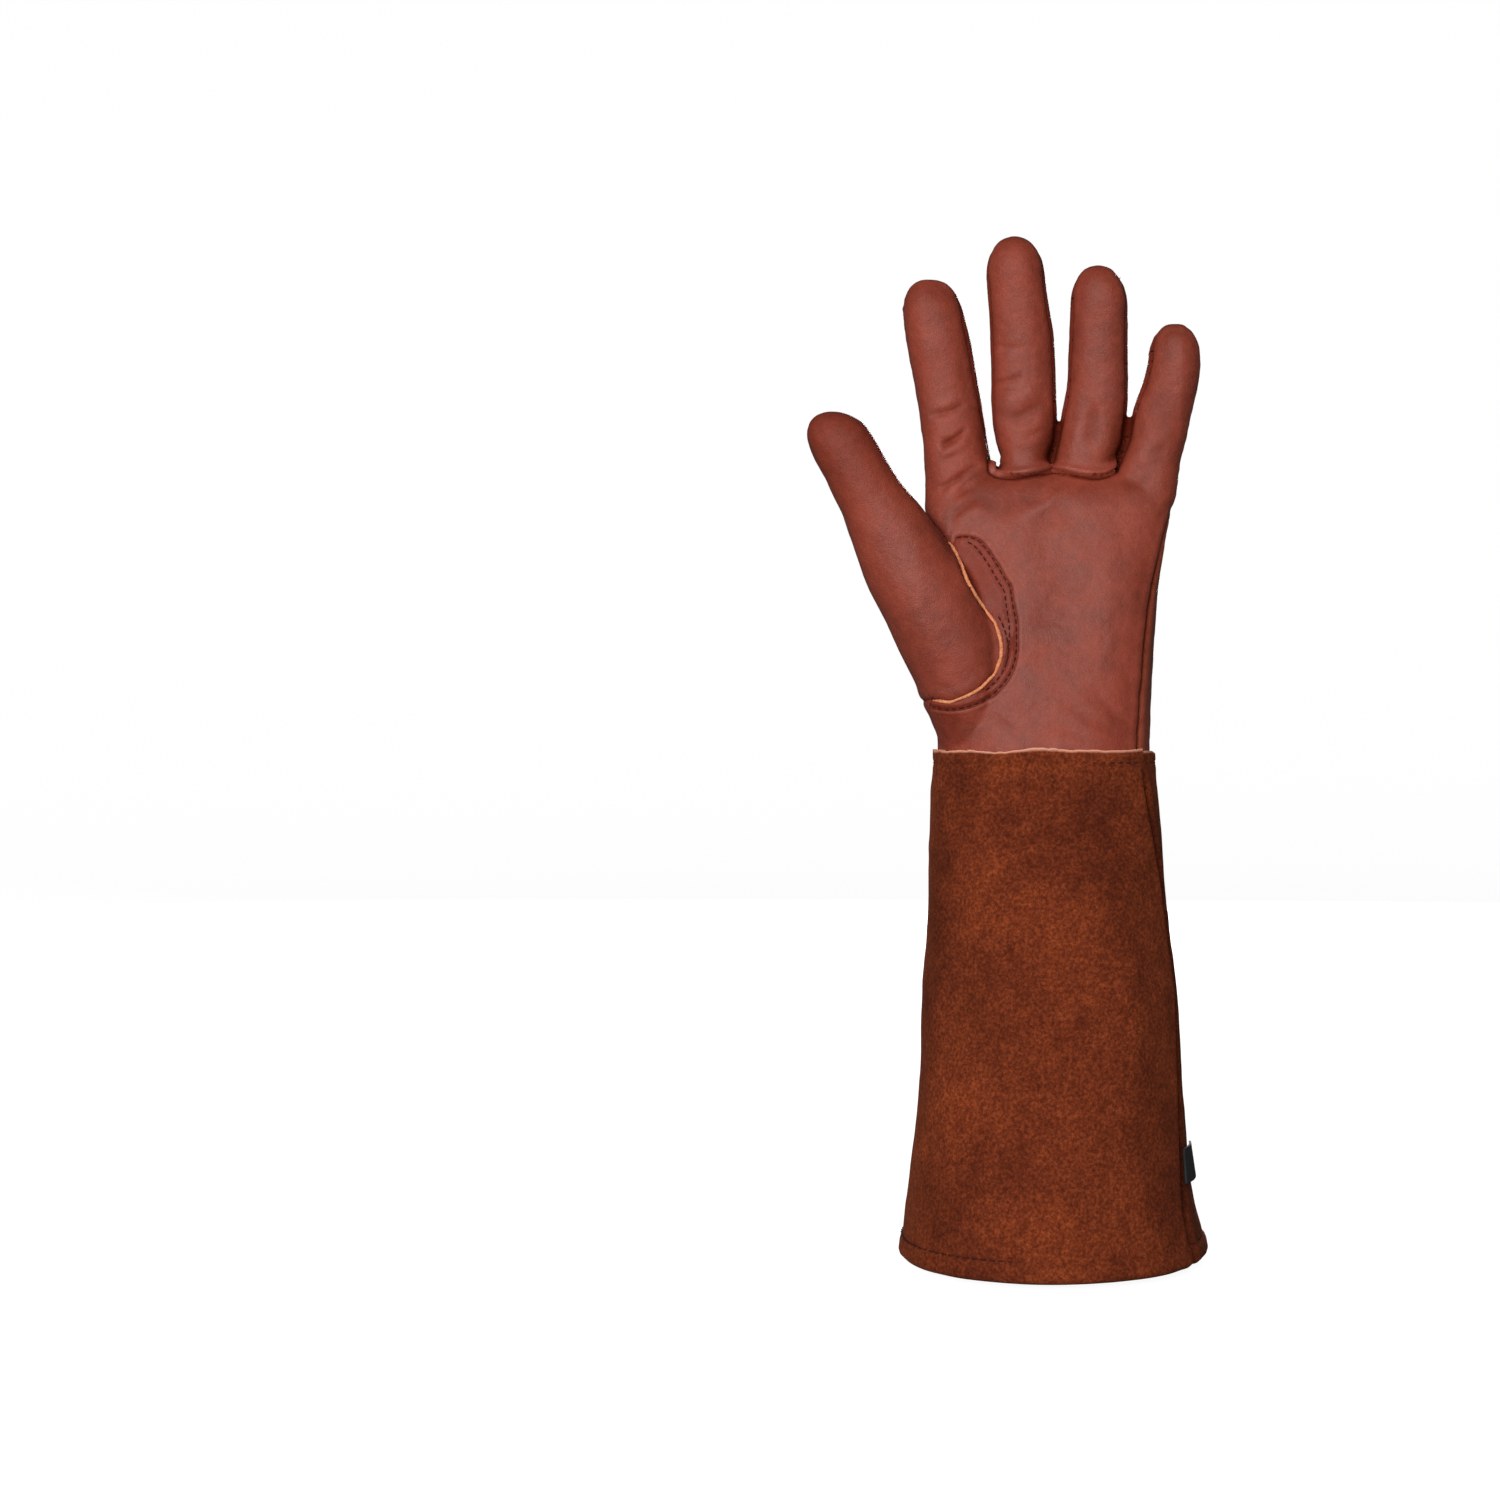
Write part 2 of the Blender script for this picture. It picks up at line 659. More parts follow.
def fused(parts):
    """One skin round several overlapping solids."""
    thing = in_scene("skin", to_mesh("skin", *merged(parts)))
    change = thing.modifiers.new("fuse", "REMESH")
    change.mode = "VOXEL"
    change.voxel_size = VOXEL
    made = thing.evaluated_get(bpy.context.evaluated_depsgraph_get())
    points, faces = from_mesh(made.to_mesh())
    made.to_mesh_clear()
    bpy.data.objects.remove(thing)
    return points, faces


def edges_of(faces):
    return np.sort(np.vstack((faces[:, :2], faces[:, 1:], faces[:, ::2])), axis=1)


def relaxed(points, faces, passes):
    """The points drawn towards their neighbours."""
    a, b = np.unique(edges_of(faces), axis=0).T
    count = np.bincount(np.concatenate((a, b)), minlength=len(points))[:, None]
    for _ in range(passes):
        sums = [
            np.bincount(a, points[b, k], len(points)) + np.bincount(b, points[a, k], len(points))
            for k in range(points.shape[1])
        ]
        points = lerp(points, np.stack(sums, axis=1) / count, 0.5)
    return points


def normals_of(points, faces):
    corners = points[faces]
    flat = np.cross(corners[:, 1] - corners[:, 0], corners[:, 2] - corners[:, 0])
    normals = np.stack([
        sum(np.bincount(faces[:, corner], flat[:, k], len(points)) for corner in range(3)) for k in range(3)
    ], axis=1)
    return normals / np.maximum(np.linalg.norm(normals, axis=1), 1e-12)[:, None]


def cut(points, faces, labels, source, target, field):
    """Splits one label's triangles along a field's zero line, and relabels those where it is below zero."""
    value = field(points)
    edges = np.unique(edges_of(faces[labels == source]), axis=0)
    edges = edges[value[edges[:, 0]] * value[edges[:, 1]] < 0]
    share = value[edges[:, 0]] / (value[edges[:, 0]] - value[edges[:, 1]])
    for end, near in ((0, share < 0.12), (1, share > 0.88)):
        chosen = edges[near, end]
        points[chosen] = lerp(points[edges[near, 0]], points[edges[near, 1]], share[near, None])
        value[chosen] = 0
    still = value[edges[:, 0]] * value[edges[:, 1]] < 0
    edges, share = edges[still], share[still]
    size = len(points)
    made = lerp(points[edges[:, 0]], points[edges[:, 1]], share[:, None])
    keys = edges[:, 0] * size + edges[:, 1]
    order = np.argsort(keys)
    keys = keys[order]

    def middle(a, b):
        """The new point on each edge, or -1."""
        key = np.minimum(a, b) * size + np.maximum(a, b)
        place = np.minimum(np.searchsorted(keys, key), len(keys) - 1)
        return np.where(keys[place] == key, size + order[place], -1)

    points = np.vstack((points, made))
    value = np.concatenate((value, np.zeros(len(made))))
    mids = np.stack([middle(faces[:, k], faces[:, (k + 1) % 3]) for k in range(3)], axis=1)
    splits = (mids >= 0).sum(axis=1)
    new_faces, new_labels = [faces[splits == 0]], [labels[splits == 0]]
    for turn in range(3):
        a, b, c = (faces[:, (turn + k) % 3] for k in range(3))
        ab, bc, ca = (mids[:, (turn + k) % 3] for k in range(3))
        one = (splits == 1) & (ab >= 0)
        two = (splits == 2) & (ab >= 0) & (ca >= 0)
        pieces = [(one, (a, ab, c)), (one, (ab, b, c))]
        pieces += [(two, (a, ab, ca)), (two, (ab, b, c)), (two, (ab, c, ca))]
        for chosen, corners in pieces:
            new_faces.append(np.stack(corners, axis=1)[chosen])
            new_labels.append(labels[chosen])
    faces, labels = np.vstack(new_faces), np.concatenate(new_labels)
    inside = (value[faces].sum(axis=1) < 0) & (labels == source)
    labels[inside] = target
    return points, faces, labels


# The hand's skin in its flat form, cut into the leather pieces
PIECES = ["palm_panel", "thumb", "thumb_gusset", "fourchette_index_middle", "fourchette_middle_ring",
          "fourchette_ring_little", "back_panel", "middle_finger_front", "ring_finger_front", "offcut"]
PALM_PANEL, OFFCUT = PIECES.index("palm_panel"), PIECES.index("offcut")
CUTS = (
    ("offcut", lambda p: p[:, 2] + CUFF_OVERLAP - 1),
    ("thumb", thumb_field),
    ("thumb_gusset", gusset_field),
    ("fourchette_index_middle", fourchette_field(INDEX, MIDDLE)),
    ("fourchette_middle_ring", fourchette_field(MIDDLE, RING)),
    ("fourchette_ring_little", fourchette_field(RING, LITTLE)),
    ("back_panel", back_field),
    ("middle_finger_front", front_field(INDEX, MIDDLE, RING)),
    ("ring_finger_front", front_field(MIDDLE, RING, LITTLE)),
)


def hand_skin():
    shapes = [palm_rings(), thumb_rings(), *map(finger_rings, FINGERS.values())]
    points, faces = fused([loft(rings) for rings in shapes])
    points = relaxed(points, faces, 6)
    labels = np.zeros(len(faces), int)
    for name, field in CUTS:
        points, faces, labels = cut(points, faces, labels, 0, PIECES.index(name), field)
    return points, faces, labels


def seam_edges(faces, labels, wanted=None):
    """The edges between two pieces, for all pairs of pieces or the wanted ones."""
    edges = edges_of(faces)
    owner = np.tile(labels, 3)
    order = np.lexsort((edges[:, 1], edges[:, 0]))
    edges, owner = edges[order], owner[order]
    pair = (edges[1:] == edges[:-1]).all(axis=1) & (owner[1:] != owner[:-1])
    first, second = owner[:-1][pair], owner[1:][pair]
    low, high = np.minimum(first, second), np.maximum(first, second)
    keep = high != OFFCUT
    if wanted is not None:
        keep &= np.isin(low * 100 + high, [min(a, b) * 100 + max(a, b) for a, b in wanted])
    return edges[:-1][pair][keep]


class Line:
    """Distances from points to a line given by close samples."""

    def __init__(self, samples):
        self.samples = samples
        self.tree = KDTree(len(samples))
        for i, sample in enumerate(samples):
            self.tree.insert(sample, i)
        self.tree.balance()

    def near(self, points):
        """The distance of each point and the sample nearest to it, where one is within reach."""
        low, high = self.samples.min(axis=0) - SEAM_REACH, self.samples.max(axis=0) + SEAM_REACH
        close = np.flatnonzero(((points > low) & (points < high)).all(axis=1))
        found = np.array([self.tree.find(point)[1:] for point in points[close]])
        distance, nearest = np.full(len(points), 10.0 * SEAM_REACH), points.copy()
        distance[close] = found[:, 1]
        nearest[close] = self.samples[found[:, 0].astype(int)]
        return distance, nearest


def seam_line(points, edges):
    share = np.linspace(0, 1, 6)[:, None, None]
    return Line(lerp(points[edges[:, 0]], points[edges[:, 1]], share).reshape(-1, 3))


# Rows of stitches as curves on the skin, found by looking at it along a direction
TOWARDS_BACK, TOWARDS_FRONT, TOWARDS_RIGHT = (0, 1, 0), (0, -1, 0), (1, 0, 0)


def on_skin(tree, places, look):
    """The skin's points and normals where it is seen from the given places."""
    found = []
    for place in places:
        hit, normal, _, _ = tree.ray_cast(Vector(place) - OUTSIDE * Vector(look), Vector(look))
        if hit is not None:
            found.append((*hit, *normal))
    found = np.array(found)
    return found[:, :3], found[:, 3:]


def in_plane(line):
    return np.stack((line[:, 0], np.zeros(len(line)), line[:, 1]), axis=1)


def side_row(low, high, shift):
    """A row beside the index finger's seam."""
    z = np.linspace(low, high, SEAM_SAMPLES)
    return np.stack((np.zeros_like(z), index_seam(z) + shift, z), axis=1)


def thumb_back_row(high, y):
    """A row beside the thumb's rear seam."""
    z = np.linspace(4, high, 100)
    return np.stack((np.zeros_like(z), np.full_like(z, y), z), axis=1)


def zigzag():
    """The elastic's stitches across the back of the wrist."""
    x = np.arange(-36, 38, 4.6)
    z = ELASTIC_HEIGHT + np.where(np.arange(len(x)) % 2, 2.4, -2.4) + random.uniform(-0.4, 0.4, len(x))
    return evenly(np.stack((x, np.zeros(len(x)), z), axis=1), 0.4)


INDEX_TIP = PALM_LENGTH + INDEX["length"] - 0.6 * FINGERTIP_ROUND
STITCH_ROWS = {
    "gusset_outer": (in_plane(thumb_seam(-0.9, 1)[4:-2]), TOWARDS_BACK),
    "gusset_inner": (in_plane(thumb_seam(-3.7, 1)[14:150]), TOWARDS_BACK),
    "gusset_short": (in_plane(thumb_seam(2.6)[74:120]), TOWARDS_BACK),
    "index_side": (side_row(3, INDEX_TIP, -3.4), TOWARDS_RIGHT),
    "index_tip": (side_row(PALM_LENGTH - 6, INDEX_TIP - 4, -6.0), TOWARDS_RIGHT),
    "thumb_back_near": (thumb_back_row(80, 8.2), TOWARDS_RIGHT),
    "thumb_back_far": (thumb_back_row(84, 12), TOWARDS_RIGHT),
    "elastic": (zigzag(), TOWARDS_FRONT),
}


# Seams by the pieces they join: depth, half width and shoulder of the groove, and how much they pucker
def pairs_of(first, second):
    return [(PIECES.index(a), PIECES.index(b)) for a in first for b in second]


STRIPS = [name for name in PIECES if name.startswith("fourchette")]
FRONTS = ["middle_finger_front", "ring_finger_front"]
SEAMS = (
    (pairs_of(["thumb"], ["palm_panel", "thumb_gusset"]), 0.6, 0.9, 0.2, 0.04),
    (pairs_of(["thumb_gusset"], ["palm_panel"]), 0.25, 0.6, 0.0, 0.0),
    (pairs_of(["palm_panel"], ["back_panel"]), 0.7, 0.85, 0.25, 0.16),
    (pairs_of(STRIPS, ["palm_panel", "back_panel", *FRONTS]), 0.4, 0.7, 0.12, 0.12),
    (pairs_of(FRONTS, ["palm_panel", "back_panel"]), 0.9, 0.85, 0.0, 0.06),
)


# Darker patches of the palm: middle (x, z), reach both ways and strength
PATCHES = table(
    "x z wide high strength",
    (-22, 98, 24, 12, 0.26),
    (24, 102, 28, 10, 0.24),
    (-36, 9, 15, 11, 0.4),
    (42, 54, 9, 36, 0.3),
    (30, 8, 16, 9, 0.2),
    (-14, 108, 22, 5, 0.3),
    (47, 128, 8, 26, 0.3),
    (-46, 150, 6, 40, 0.15),
    (-33, 150, 5, 34, 0.2),
    (-2, 160, 5, 44, 0.15),
)

# Heights up to which the slits between the fingers stay shut
SLIT_TOPS = (PALM_LENGTH + 2, PALM_LENGTH + 14, PALM_LENGTH + 16)


def crease_relief(points, normals):
    """Creases and ridges of the table, as heights along the normals."""
    height = np.zeros(len(points))
    place = points[:, ::2]
    for side, x0, z0, x1, z1, wide, deep in zip(*CREASES.values()):
        a, b = np.array((x0, z0)), np.array((x1, z1))
        wave = place + 1.3 * np.stack((noise(points, 9, 3), noise(points, 9, 11)), axis=1)
        along = (wave - a) @ (b - a) / ((b - a) @ (b - a))
        away = np.linalg.norm(wave - a - np.clip(along, 0, 1)[:, None] * (b - a), axis=1)
        fade = step_between(along, -0.25, 0.3) * (1 - step_between(along, 0.7, 1.25))
        facing = step_between(side * normals[:, 1], 0.0, 0.45)
        height -= deep * bell(away, wide) * fade * facing
    return height


def slit_relief(points):
    """The narrow slits between the fingers' roots, and the darker leather there and at the fingertips."""
    x, _, z = points.T
    height, shade = np.zeros(len(points)), np.zeros(len(points))
    fingers = list(FINGERS.values())
    for (left, right), top in zip(pairwise(fingers), SLIT_TOPS):
        away = np.abs(x - slit_middle(left, right, z))
        near = step_between(z, PALM_LENGTH - 3, PALM_LENGTH + 3) * (1 - step_between(z, top, top + 10))
        height -= 1.1 * bell(away, 1.2) * near
        shade -= 1.1 * bell(away, 2.4) * near
        beside = x - slit_middle(left, right, z) + 3.5
        low = step_between(z, PALM_LENGTH, PALM_LENGTH + 4)
        low *= 1 - step_between(z, PALM_LENGTH + 12, PALM_LENGTH + 36)
        shade -= 0.6 * bell(beside, 3.2) * low
    for finger in fingers:
        middle, across, _ = finger_section(finger, z, False)
        own = (np.abs(x - middle) < across + 2) & (z > PALM_LENGTH)
        tip = PALM_LENGTH + finger["length"]
        shade -= 0.3 * own * step_between(z, tip - 26, tip)
    for across, up, wide, high, strength in zip(*PATCHES.values()):
        away = np.hypot((x - across) / wide, (z - up) / high) + 0.25 * noise(points, 14, 6)
        shade -= strength * (1 - step_between(away, 0.1, 1.1)) * (points[:, 1] < 6)
    along = (points - THUMB_ROOT) @ THUMB_AXIS
    beside = np.linalg.norm(points - THUMB_ROOT - np.outer(along, THUMB_AXIS), axis=1)
    upper = step_between(along / np.linalg.norm(THUMB_SPAN), 0.5, 1)
    shade -= 0.45 * (1 - step_between(beside, 22, 30)) * upper
    return height, shade


def skin_relief(points, faces, labels, normals, rows):
    """How far the leather stands out or sinks in, from its seams, stitches, creases and its own waviness."""
    height = np.zeros(len(points))
    for pairs, depth, wide, shoulder, pucker in SEAMS:
        distance, nearest = seam_line(points, seam_edges(faces, labels, pairs)).near(points)
        height -= depth * bell(distance, wide)
        height += shoulder * bell(distance - 3.2, 1.8)
        height += pucker * noise(nearest, 2.6) * bell(distance - 2.4, 2.2)
    fronts = [PIECES.index(name) for name in FRONTS]
    base = seam_line(points, seam_edges(faces, labels, [(PALM_PANEL, front) for front in fronts]))
    away, _ = base.near(points)
    above = points[:, 2] > PALM_LENGTH - BASE_SEAM_DROP - 0.5 * BASE_SEAM_SAG
    on_front = np.zeros(len(points), bool)
    on_front[faces[np.isin(labels, fronts)].ravel()] = True
    foot = 1 - step_between(points[:, 2], PALM_LENGTH + 1.5, PALM_LENGTH + 6)
    height += np.where(on_front & above, 1.7 * bell(away - 2.3, 1.8), 0) * foot
    for name, (samples, _) in rows.items():
        away, nearest = Line(evenly(samples, 0.25)).near(points)
        height -= 0.34 * bell(away, 0.75)
        height += 0.26 * bell(away - 1.75, 0.8)
        height += 0.12 * noise(nearest, 1.7) * bell(away - 1.6, 1.6)
    away, _ = Line(evenly(rows["elastic"][0], 0.5)).near(points)
    gather = bell(away, 7) * step_between(points[:, 1], 4, 14)
    height += 0.75 * gather * noise(points * (1, 0.4, 0.14), 3.1, 5)
    slit, worn = slit_relief(points)
    height += slit
    creases = crease_relief(points, normals)
    shade = height + worn + 0.35 * creases
    height += creases
    height += 0.35 * noise(points, 16) + 0.17 * noise(points, 7, 9) + 0.07 * noise(points, 2.6, 4)
    wrist = step_between(points[:, 2], 30, 0)
    height += 0.25 * wrist * noise(points * (1, 1, 1.6), 6, 2)
    return height, shade


def shaped(points, curls=True):
    """The hand's hollows, its cupped palm and the curl of its fingers."""
    x, y, z = np.array(points, float).T
    across = np.clip((x - KNUCKLE_DRIFT) / (KNUCKLE_WIDTH / 2), -1, 1)
    if curls:
        fade = np.clip(np.abs(y) / SIDE_FADE, 0, 1)
        flat_y = y.copy()
        for side, middle, over, up, reach, deep in zip(*HAND_DENTS.values()):
            near = bump((across - middle) / over) * bump((z / PALM_LENGTH - up) / reach)
            y = y - side * fade * deep * HAND_DENT * near * (np.sign(flat_y) == side)
    y = y - PALM_CUP * step_between(z, 0, PALM_LENGTH) * across * across
    if curls:
        bend = math.radians(CURL_ANGLE) / CURL_LENGTH * (1 + CURL_GROWTH * across)
        turn = bend * np.maximum(z - CURL_START, 0)
        high = np.minimum(z, CURL_START)
        y, z = (y * np.cos(turn) - (1 - np.cos(turn)) / bend, high + np.sin(turn) / bend + y * np.sin(turn))
    return np.stack((x, y, z), axis=1)


# Materials
def tint(red, green, blue):
    """A colour of the picture as the shader's value."""
    return (*(((c / 255 + 0.055) / 1.055) ** 2.4 for c in (red, green, blue)), 1)


def shaded(colour, share):
    return tint(*(c * share for c in colour))


def grey(value):
    return (value, value, value, 1)


class Nodes:
    """Short ways to add nodes to a material."""

    def __init__(self, name):
        self.material = bpy.data.materials.new(name)
        self.material.use_nodes = True
        self.tree = self.material.node_tree
        self.shader = self.tree.nodes["Principled BSDF"]
        self.place = self.add("ShaderNodeTexCoord").outputs["Object"]

    def add(self, kind, **inputs):
        node = self.tree.nodes.new(kind)
        for name, value in inputs.items():
            self.put(node.inputs[name.replace("_", " ")], value)
        return node

    def put(self, socket, value):
        if isinstance(value, bpy.types.NodeSocket):
            self.tree.links.new(value, socket)
        else:
            socket.default_value = value

    def noise(self, size, detail=3, roughness=0.55):
        """Noise with a feature size in millimetres."""
        node = self.add("ShaderNodeTexNoise", Scale=1000 / size, Detail=detail, Roughness=roughness)
        self.put(node.inputs["Vector"], self.place)
        return node.outputs["Factor" if "Factor" in node.outputs else "Fac"]

    def ramp(self, value, *stops):
        node = self.add("ShaderNodeValToRGB", Fac=value)
        stored = node.color_ramp.elements
        while len(stored) < len(stops):
            stored.new(0.5)
        for element, (place, colour) in zip(stored, stops):
            element.position = place
            element.color = colour
        return node.outputs["Color"]

    def mix(self, share, low, high, kind="MIX"):
        node = self.tree.nodes.new("ShaderNodeMix")
        node.data_type = "RGBA"
        node.blend_type = kind
        self.put(node.inputs[0], share)
        self.put(node.inputs[6], low)
        self.put(node.inputs[7], high)
        return node.outputs[2]

    def sums(self, kind, a, b):
        node = self.tree.nodes.new("ShaderNodeMath")
        node.operation = kind
        self.put(node.inputs[0], a)
        self.put(node.inputs[1], b)
        return node.outputs[0]

    def attribute(self, name):
        node = self.tree.nodes.new("ShaderNodeAttribute")
        node.attribute_name = name
        return node.outputs["Fac"]

    def bump(self, height, distance, strength, normal=None):
        """Relief with a height in millimetres."""
        node = self.add("ShaderNodeBump", Height=height, Distance=distance * MM, Strength=strength)
        if normal is not None:
            self.put(node.inputs["Normal"], normal)
        return node.outputs["Normal"]

    def finish(self, **values):
        for name, value in values.items():
            self.put(self.shader.inputs[name.replace("_", " ")], value)
        return self.material


def leather(name, middle, spread=1.0, gloss=0.26):
    """Smooth grain leather: pores and fine wrinkles, darker in its creases and paler on its ridges."""
    n = Nodes(name)
    dark, light = shaded(middle, 1 - 0.1 * spread), shaded(middle, 1 + 0.07 * spread)
    cloud = n.mix(0.5, n.noise(38, 2), n.noise(9, 4))
    colour = n.ramp(cloud, (0.34, dark), (0.5, tint(*middle)), (0.68, light))
    relief = n.attribute("relief")
    deep = n.ramp(relief, (0.0, (0.42, 0.34, 0.3, 1)), (0.45, grey(1)), (1.0, grey(1.1)))
    colour = n.mix(1.0, colour, deep, "MULTIPLY")
    pores = n.noise(0.55, 2, 0.6)
    pored = n.ramp(pores, (0.3, (0.72, 0.68, 0.66, 1)), (0.6, grey(1.08)))
    colour = n.mix(0.6, colour, pored, "MULTIPLY")
    mottle = n.ramp(n.noise(3.6, 4, 0.6), (0.34, (0.88, 0.84, 0.82, 1)), (0.64, (1.06, 1.07, 1.07, 1)))
    colour = n.mix(0.8, colour, mottle, "MULTIPLY")
    cells = n.add("ShaderNodeTexVoronoi", Scale=1000 / 0.95, Vector=n.place)
    cells.feature = "DISTANCE_TO_EDGE"
    grain = n.ramp(cells.outputs["Distance"], (0.0, grey(0)), (0.28, grey(1)))
    fine = n.bump(grain, 0.05, 0.7)
    wavy = n.bump(n.noise(3.0, 6, 0.7), 0.5, 0.75, fine)
    sheen = n.ramp(relief, (0.12, grey(0.1 * gloss)), (0.46, grey(gloss)), (0.8, grey(1.5 * gloss)))
    rough = n.ramp(cloud, (0.3, grey(0.46)), (0.7, grey(0.6)))
    return n.finish(Base_Color=colour, Roughness=rough, Normal=wavy, Specular_IOR_Level=sheen)


def suede(name, middle):
    """Napped split leather: softly mottled, speckled and matt, with a short fuzz and a raw pale edge."""
    n = Nodes(name)
    red, green, blue = middle
    dark = tint(red * 0.8, green * 0.72, blue * 0.68)
    light = tint(red * 1.14, green * 1.18, blue * 1.2)
    cloud = n.mix(0.35, n.noise(42, 2, 0.5), n.noise(11, 4, 0.6))
    colour = n.ramp(cloud, (0.32, dark), (0.5, tint(*middle)), (0.68, light))
    blotch = n.ramp(n.noise(5, 4, 0.65), (0.34, (0.8, 0.75, 0.72, 1)), (0.64, (1.14, 1.18, 1.2, 1)))
    colour = n.mix(0.8, colour, blotch, "MULTIPLY")
    stain = n.attribute("stain")
    colour = n.mix(stain, colour, n.mix(1.0, colour, (0.34, 0.26, 0.22, 1), "MULTIPLY"))
    flecks = n.ramp(n.noise(1.3, 2, 0.6), (0.32, (0.6, 0.53, 0.48, 1)), (0.5, grey(1)),
                    (0.68, (1.55, 1.75, 1.8, 1)))
    colour = n.mix(0.9, colour, flecks, "MULTIPLY")
    fuzz = n.ramp(n.noise(0.5, 2, 0.7), (0.35, (0.74, 0.72, 0.7, 1)), (0.65, grey(1.25)))
    colour = n.mix(0.8, colour, fuzz, "MULTIPLY")
    colour = n.mix(n.attribute("raw"), colour, tint(214, 150, 124))
    nap = n.bump(n.noise(0.8, 3, 0.75), 0.3, 0.6)
    nap = n.bump(n.noise(5, 3), 0.5, 0.4, nap)
    return n.finish(
        Base_Color=colour, Roughness=0.95, Normal=nap, Specular_IOR_Level=0.12, Sheen_Weight=0.12,
        Sheen_Roughness=0.5, Sheen_Tint=tint(200, 110, 70),
    )


def raw_edge(name):
    """Cut edge of undyed leather: pale orange and fibrous."""
    n = Nodes(name)
    fibres = n.noise(0.8, 4, 0.7)
    colour = n.ramp(fibres, (0.3, tint(158, 86, 54)), (0.5, tint(200, 124, 84)),
                    (0.72, tint(222, 152, 112)))
    fluffy = n.bump(fibres, 0.15, 0.6)
    return n.finish(Base_Color=colour, Roughness=0.85, Normal=fluffy, Specular_IOR_Level=0.25)


def thread(name, colour):
    n = Nodes(name)
    wound = n.noise(0.35, 2, 0.6)
    shade = n.ramp(wound, (0.3, shaded(colour, 0.6)), (0.7, tint(*colour)))
    ridges = n.bump(wound, 0.08, 0.6)
    return n.finish(Base_Color=shade, Roughness=0.7, Normal=ridges, Specular_IOR_Level=0.15)


def woven(name, colour):
    """A plain weave of two thread directions."""
    n = Nodes(name)
    waves = []
    for direction in ("X", "Z"):
        wave = n.add("ShaderNodeTexWave", Scale=1000 / 2.2, Vector=n.place)
        wave.bands_direction = direction
        waves.append(wave.outputs["Fac"])
    weave = n.sums("MULTIPLY", *waves)
    shade = n.ramp(weave, (0, shaded(colour, 0.5)), (1, tint(*colour)))
    return n.finish(Base_Color=shade, Roughness=0.8, Normal=n.bump(weave, 0.15, 0.7))


def glowing_white(name):
    """The backdrop's paper, lit from behind."""
    n = Nodes(name)
    return n.finish(
        Base_Color=grey(0.3), Roughness=1.0, Specular_IOR_Level=0.0, Emission_Color=grey(1),
        Emission_Strength=0.93,
    )


MATERIALS = {
    "leather": leather("leather_palm", (126, 54, 38)),
    "leather_back": leather("leather_back", (129, 59, 39), 0.8),
    "leather_side": leather("leather_side", (116, 45, 30), 0.7, 0.16),
    "suede": suede("suede_cuff", (98, 40, 18)),
    "welt": raw_edge("raw_edge"),
    "thread": thread("thread_brown", (66, 24, 14)),
    "tab": woven("tab_weave", (24, 23, 26)),
}


# Finished pieces
def piece(name, points, faces, material, slot, nodes=(), wall=0.0, **attributes):
    """An object in metres that rides on the glove and stands for its nodes, with a wall inwards."""
    mesh = to_mesh(name, np.asarray(points) * MM, faces)
    for key, values in attributes.items():
        mesh.attributes.new(key, "FLOAT", "POINT").data.foreach_set("value", np.asarray(values, np.float32))
    mesh.materials.append(MATERIALS[material])
    mesh.shade_smooth()
    thing = in_scene(name, mesh)
    if wall:
        shell = thing.modifiers.new("wall", "SOLIDIFY")
        shell.thickness = wall * MM
        shell.offset = -1
        made = bpy.data.meshes.new_from_object(thing.evaluated_get(bpy.context.evaluated_depsgraph_get()))
        thing.modifiers.clear()
        thing.data = made
        made.set_sharp_from_angle(angle=SHARP_ANGLE)
    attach(thing, "root")
    if nodes:
        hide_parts(*nodes)
    return thing


SLOTS = {"back_panel": "leather_back", "thumb_gusset": "leather_side"}


def leather_pieces(points, faces, labels, shade):
    """Each piece of the hand's skin, drawn in a little at its seams."""
    relief = np.clip(0.5 + 0.5 * shade, 0, 1)
    for label, name in enumerate(PIECES[:-1]):
        own = faces[labels == label]
        used, own = np.unique(own, return_inverse=True)
        own = own.reshape(-1, 3)
        spots = shaped(points[used], not name.startswith("thumb"))
        edges = edges_of(own)
        both, count = np.unique(edges, axis=0, return_counts=True)
        rim = both[count == 1]
        inner = np.ones(len(spots), bool)
        inner[rim.ravel()] = False
        pull = np.zeros_like(spots)
        touching = both[inner[both[:, 0]] != inner[both[:, 1]]]
        outer_first = inner[touching[:, 0]]
        out, inn = np.where(outer_first, touching[:, 1], touching[:, 0]), np.where(outer_first, *touching.T)
        for k in range(3):
            pull[:, k] = np.bincount(out, spots[inn, k] - spots[out, k], len(spots))
        length = np.linalg.norm(pull, axis=1)
        spots += pull / np.maximum(length, 1e-9)[:, None] * SEAM_GAP * (length > 0)[:, None]
        slot = SLOTS.get(name, "leather_side" if name.startswith("fourchette") else "leather")
        piece(name, spots, own, slot, slot, [name], GRAIN_WALL, relief=relief[used])


def strip(samples, normals, width, rise, sink):
    """A raised strip along a line on the skin, with a slightly wavy crown."""
    along = unit(np.gradient(samples, axis=0))
    across = unit(np.cross(along, normals))
    taper = np.minimum(1, np.minimum(np.arange(len(samples)), np.arange(len(samples))[::-1]) / 6)
    wave = 0.28 * noise(samples, 3.3, 6)
    profile = ((-1, -sink), (-1, 0.35), (-0.72, 0.86), (0, 1), (0.72, 0.86), (1, 0.35), (1, -sink))
    rings = []
    for side, up in profile:
        lift = np.where(up > 0, up * rise * (0.35 + 0.65 * taper), up)
        offset = side * width / 2 * (0.4 + 0.6 * taper) * (1 + 0.25 * noise(samples, 2.1, 8))
        rings.append(samples + across * (offset + wave)[:, None] + normals * lift[:, None])
    rings = np.stack(rings, axis=1)
    return loft(rings)


